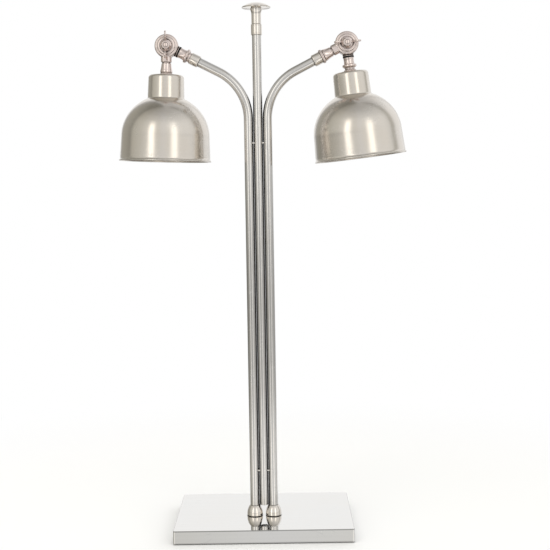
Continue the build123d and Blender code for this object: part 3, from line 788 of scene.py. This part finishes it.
for side in ("left", "right"):
    a_name, b_name = ("lamp", "arm") if side == "left" else ("arm", "lamp")
    am = lamp_m(side) if side == "left" else arm_m(side)
    bm_ = arm_m(side) if side == "left" else lamp_m(side)
    hm = hinge_m(side)
    remeshed(f"{side}_{a_name}_ear", f"{side}_{a_name}_knuckle", .00040, 5, ear_detail(side, True))
    remeshed(f"{side}_{b_name}_ear", f"{side}_{b_name}_knuckle", .00040, 5, ear_detail(side, False))
    remeshed(f"{side}_butterfly_nut", f"{side}_wing_nut", .00030, 4)

    # black washer on the stem of the rear ear, friction washer between the ears
    lathe(f"{side}_stem_washer", path((3.0, 21.7), (9.5, 21.7, .35), (9.5, 24.3, .35), (3.0, 24.3)), f"{side}_{b_name}_washer", bm_, 72)
    lathe(f"{side}_ear_washer", path((4.3, -.40), (17.0, -.40, .15), (17.0, .45, .15), (4.3, .45)), f"{side}_friction_washer",
          T(PIVOT[side]) @ Matrix.Rotation(math.radians(-90), 4, "X"), 96)

    # ferrules
    end_a = [(6.75, 44.8), (6.75, 62.0), (3.0, 62.0)] if side == "right" else [(5.0, 44.8), (5.0, 36.0), (3.0, 36.0)]
    lathe(f"{side}_{a_name}_sleeve", path((3.0, 27.0), (7.4, 27.0, .25), (7.4, 29.3, .3), (8.4, 29.3, .35), (8.5, 31.0),
                                          ((9.2, 36.5), (10.4, 41.2, .6)), (10.4, 43.4, .5), (9.8, 44.8, .3), *end_a), f"{side}_{a_name}_ferrule", am, 96)
    end_b = [(6.75, 45.0), (6.75, 60.0), (3.0, 60.0)] if side == "left" else [(5.0, 45.0), (5.0, 36.0), (3.0, 36.0)]
    lathe(f"{side}_{b_name}_sleeve", path((3.0, 24.3), (9.2, 24.3, .3), ((8.7, 29.6), (9.2, 35.0, .6)), (9.8, 36.0, .3), (11.6, 36.0, .3),
                                          (12.2, 36.6, .3), (12.2, 39.0, .4), (11.6, 39.8, .3), (10.4, 41.0, .4), (8.6, 41.0, .5), (8.6, 45.0, .2), *end_b),
          f"{side}_{b_name}_ferrule", bm_, 96)

    # bolt: domed head behind, threaded end in front
    th = []
    z = 14.0
    while z < 23.0:
        th += [(4.0, z, 0), (3.62, z + .5, 0)]
        z += 1.0
    lathe(f"{side}_swivel_bolt", path((0.0, -14.6), ((5.6, -13.6), (8.2, -10.8, .3)), (8.2, -10.0, .2), (4.0, -10.0), (4.0, 13.8), *th,
                                      (3.95, 22.9), ((2.5, 23.7), (0.0, 24.0))), f"{side}_knuckle_bolt", hm, 64, mat=MAT["nickel_swivel"])
    lathe(f"{side}_dished_washer", path((4.3, 10.0), (14.6, 10.0, .2), (15.0, 10.35, .2), (15.0, 10.9, .3), ((13.9, 11.75), (11.6, 12.2, .3)),
                                        (10.9, 12.2, .15), (10.7, 12.0, .1), (10.3, 12.0, .1), (10.1, 12.2, .1), (4.3, 12.2, .2)),
          f"{side}_clamp_washer", hm, 96)

# collars and ring nuts
lathe("left_arm_socket", path((8.6, 45.0), (9.4, 45.0, .3), (10.1, 45.7, .3), (10.1, 47.6, .15), (9.85, 47.8, .1), (9.85, 48.2, .1), (10.1, 48.4, .15),
                              (10.1, 59.6, .4), ((9.7, 60.6), (8.6, 61.0, .2)), (7.95, 61.0), (7.95, 45.0)), "left_tube_collar", arm_m("left"), 96)
lathe("right_arm_socket", path((7.95, 49.3), (9.8, 49.3, .3), (10.4, 50.0, .3), (10.4, 52.0, .15), (10.15, 52.2, .1), (10.15, 52.6, .1), (10.4, 52.8, .15),
                               (10.4, 62.8, .4), ((9.9, 63.9), (8.6, 64.3, .2)), (7.95, 64.3)), "right_tube_collar", arm_m("right"), 96)
lathe("left_lamp_locknut", path((5.0, 44.8), (9.7, 44.8, .2), (10.4, 45.5, .3), (10.4, 47.8, .3), (9.7, 48.5, .2), (5.0, 48.5)), "left_lamp_ring_nut",
      lamp_m("left"), 240, fn=knurl(40, .22, 45.4, 47.9, 10.0))
lathe("right_lamp_locknut", path((5.0, 45.0), (10.1, 45.0, .2), (10.8, 45.7, .3), (10.8, 47.8, .3), (10.1, 48.5, .2), (5.0, 48.5)), "right_lamp_ring_nut",
      lamp_m("right"), 240, fn=knurl(40, .22, 45.6, 47.9, 10.4))
lathe("right_arm_locknut", path((6.75, 44.8), (11.5, 44.8, .2), (12.2, 45.5, .3), (12.2, 48.6, .3), (11.5, 49.3, .2), (6.75, 49.3)), "right_arm_ring_nut",
      arm_m("right"), 240, fn=knurl(44, .22, 45.4, 48.7, 11.8))

# ================================================================== shades


def shade_profile():
    a, b, du = 75.3, 71.4, 105.0
    sk_r, sk_u = 77.3, 145.5

    def side(o):
        aa, bb = a - o, b - o
        rt = 5.5 - o
        cxx, czz = 30.3 - 5.5, 5.5
        pts = [(5.1, o)]
        if not o:
            pts += [(12.0, 0.0), (18.0, 0.0)]
        for i in range(0, 11):
            t = math.radians(90 - 9 * i)
            pts.append((cxx + rt * math.cos(t), czz - rt * math.sin(t)))
        crr = 31.2 - o
        r1 = crr + (3.2 if not o else 4.0)
        u1 = du - bb * math.sqrt(1 - (r1 / aa) ** 2)
        u0 = u1 - (4.6 if not o else 5.2)
        for i in range(1, 9):
            pts.append((30.3 - o + (crr - 30.3 + o) * i / 8, 5.5 + (u0 - 5.5) * i / 8))
        # concave fillet, cubic
        t0 = math.asin(r1 / aa)
        tx, tu = aa * math.cos(t0), bb * math.sin(t0)
        nrm = math.hypot(tx, tu)
        tx, tu = tx / nrm, tu / nrm
        p0, p3 = (crr, u0), (r1, u1)
        h = 2.9
        p1, p2 = (p0[0] + .03 * h, p0[1] + h), (p3[0] - tx * h, p3[1] - tu * h)
        for i in range(1, 9):
            t = i / 8
            q = [(1 - t) ** 3, 3 * t * (1 - t) ** 2, 3 * t * t * (1 - t), t ** 3]
            pts.append(tuple(sum(c * p[k] for c, p in zip(q, (p0, p1, p2, p3))) for k in (0, 1)))
        for i in range(1, 45):
            t = t0 + (math.pi / 2 - t0) * i / 44
            pts.append((aa * math.sin(t), du - bb * math.cos(t)))
        for i in range(1, 11):
            k = i / 10 * .955
            pts.append((aa + (sk_r - o - aa) * k, du + (sk_u - du) * k))
        return pts

    outer = side(0.0)
    inner = side(1.0)
    bead = []
    c = (sk_r + .1, sk_u - .3)
    for i in range(15):
        t = math.radians(-78 + i * (78 + 192) / 14)
        bead.append((c[0] + 1.3 * math.cos(t), c[1] + 1.3 * math.sin(t)))
    prof = outer + bead + list(reversed(inner))
    return [(r, u + CAP_D, 0.0) for r, u in prof]


for side in ("left", "right"):
    lm = lamp_m(side)
    lathe(f"{side}_bell", shade_profile(), f"{side}_shade", lm, 192, angle=60)
    # porcelain socket
    u = CAP_D
    lathe(f"{side}_lampholder", path((5.0, u + 6.0), (12.5, u + 6.0, .8), ((17.2, u + 8.2), (19.5, u + 13.0, 1.0)), (19.5, u + 22.0, .3), (19.0, u + 22.6, .3),
                                     (19.0, u + 24.0, .3), (19.5, u + 24.6, .3), (19.5, u + 43.0, .8), (20.8, u + 44.0, .8), (20.8, u + 49.5, .8),
                                     (20.0, u + 50.5, .5), (14.0, u + 50.5, .6), (14.0, u + 18.0), (0.0, u + 18.0), (0.0, u + 14.0), (5.0, u + 14.0)),
          f"{side}_socket", lm, 96)
    # reflector bulb: silvered behind, frosted in front
    gp = [(12.5, 47.0), (13.6, 52.5), (17.9, 61.0), (26.0, 74.0), (37.0, 90.0), (45.0, 103.5), (47.4, 113.0), (45.6, 120.5), (38.0, 126.2), (22.0, 129.8), (0.0, 131.0)]

    def catmull(p, n=7):
        out = []
        for i in range(len(p) - 1):
            p0 = p[i - 1] if i else (12.5, 43.0)
            p1, p2 = p[i], p[i + 1]
            p3 = p[i + 2] if i + 2 < len(p) else (-22.0, 129.8)
            for k in range(n):
                t = k / n
                out.append(tuple(.5 * ((2 * b) + (-a + c) * t + (2 * a - 5 * b + 4 * c - d) * t * t + (-a + 3 * b - 3 * c + d) * t ** 3)
                                 for a, b, c, d in zip(p0, p1, p2, p3)))
        out.append(p[-1])
        return out

    og = [(12.5, 23.2)] + [(12.5, 23.2 + 23.8 * i / 4) for i in range(1, 4)] + catmull(gp)
    ig = []
    for i, p in enumerate(og):
        q0, q1 = og[max(0, i - 1)], og[min(len(og) - 1, i + 1)]
        tx, ty = q1[0] - q0[0], q1[1] - q0[1]
        nn = math.hypot(tx, ty) or 1.0
        ig.append((max(0.0, p[0] - ty / nn * 1.0), p[1] + tx / nn * 1.0))
    ig[-1] = (0.0, 130.0)
    ig[0] = (11.5, 23.2)
    prof = [(0.0, 131.0 + u, 0.0)] + [(r, z + u, 0.0) for r, z in reversed(og[:-1])] + [(r, z + u, 0.0) for r, z in ig]
    lathe(f"{side}_lamp_envelope", prof, f"{side}_bulb_glass", lm, 128, mat=[MAT["bulb_glass"], silvered],
          face_mat=lambda c, uu=u: 0 if c.z / MM - uu > 109.0 else 1, angle=60)
